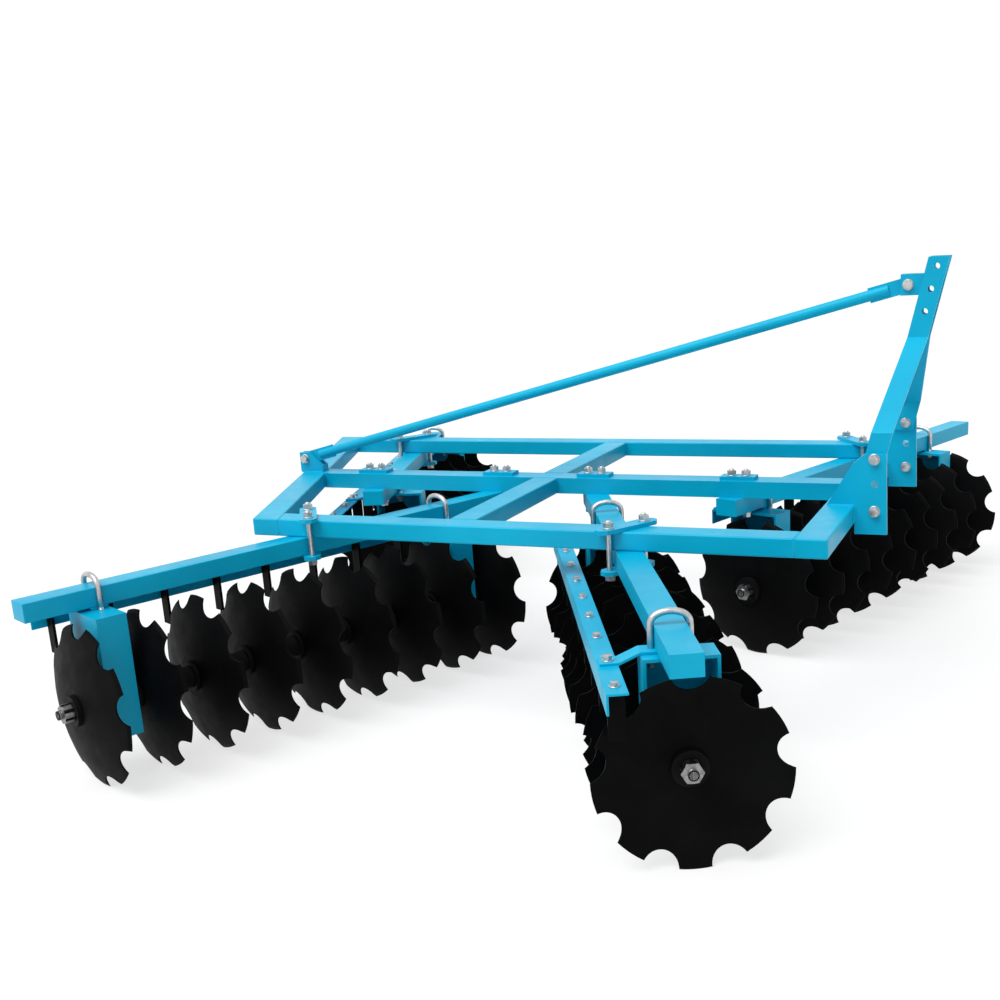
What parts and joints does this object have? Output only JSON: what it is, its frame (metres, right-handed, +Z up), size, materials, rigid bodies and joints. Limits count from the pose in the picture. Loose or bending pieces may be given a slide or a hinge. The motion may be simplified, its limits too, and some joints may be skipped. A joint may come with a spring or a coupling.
{
  "type": "mounted disc harrow",
  "caption": "Three point mounted disc harrow: a box frame with a mast carries opposed gangs of notched, dished discs that turn on their axles.",
  "frame": {"origin": "centre of the bounding box on the ground plane, under the frame", "axes": "+X the direction of travel, towards the hitch; +Y the machine's left; +Z up"},
  "size_m": [2.7132, 3.2686, 1.273],
  "materials": {
    "frame_paint": "gloss cyan blue enamel",
    "disc_steel": "satin black",
    "axle_steel": "satin black",
    "scraper_steel": "satin black",
    "zinc_steel": "zinc plated"
  },
  "bodies": {
    "frame": {"right_rail": "frame_paint", "centre_rail": "frame_paint", "left_rail": "frame_paint", "front_member": "frame_paint", "middle_member_right": "frame_paint", "middle_member_left": "frame_paint", "rear_member": "frame_paint", "right_hitch_plate": "frame_paint", "left_hitch_plate": "frame_paint", "right_mast_leg": "frame_paint", "left_mast_leg": "frame_paint", "mast_lug": "frame_paint", "stay_tube": "frame_paint", "rear_clevis": "frame_paint", "hitch_bolts": "zinc_steel", "clamp_top_plates": "frame_paint", "clamp_bottom_plates": "frame_paint", "clamp_rods": "zinc_steel", "front_right_beam": "frame_paint", "front_right_hangers": "frame_paint", "front_right_scraper_bar": "frame_paint", "front_right_scrapers": "scraper_steel", "front_left_beam": "frame_paint", "front_left_hangers": "frame_paint", "front_left_scraper_bar": "frame_paint", "front_left_scrapers": "scraper_steel", "rear_right_beam": "frame_paint", "rear_right_hangers": "frame_paint", "rear_right_scraper_bar": "frame_paint", "rear_right_scrapers": "scraper_steel", "rear_left_beam": "frame_paint", "rear_left_hangers": "frame_paint", "rear_left_scraper_bar": "frame_paint", "rear_left_scrapers": "scraper_steel"},
    "front_right_gang": {"front_right_axle": "axle_steel", "front_right_discs": "disc_steel"},
    "front_left_gang": {"front_left_axle": "axle_steel", "front_left_discs": "disc_steel"},
    "rear_right_gang": {"rear_right_axle": "axle_steel", "rear_right_discs": "disc_steel"},
    "rear_left_gang": {"rear_left_axle": "axle_steel", "rear_left_discs": "disc_steel"}
  },
  "joints": [
    {"name": "front_right_gang_spin", "type": "hinge", "parent": "frame", "child": "front_right_gang", "pos_m": [0.56598, -0.84094, 0.23], "axis": [-0.4446, 0.8957, 0], "continuous": true},
    {"name": "front_left_gang_spin", "type": "hinge", "parent": "frame", "child": "front_left_gang", "pos_m": [0.89616, 0.61813, 0.23], "axis": [-0.3256, -0.9455, 0], "continuous": true},
    {"name": "rear_right_gang_spin", "type": "hinge", "parent": "frame", "child": "rear_right_gang", "pos_m": [-0.53426, -0.90296, 0.23], "axis": [0.4051, 0.9143, 0], "continuous": true},
    {"name": "rear_left_gang_spin", "type": "hinge", "parent": "frame", "child": "rear_left_gang", "pos_m": [-0.86561, 0.65071, 0.23], "axis": [0.3057, -0.9521, 0], "continuous": true}
  ]
}
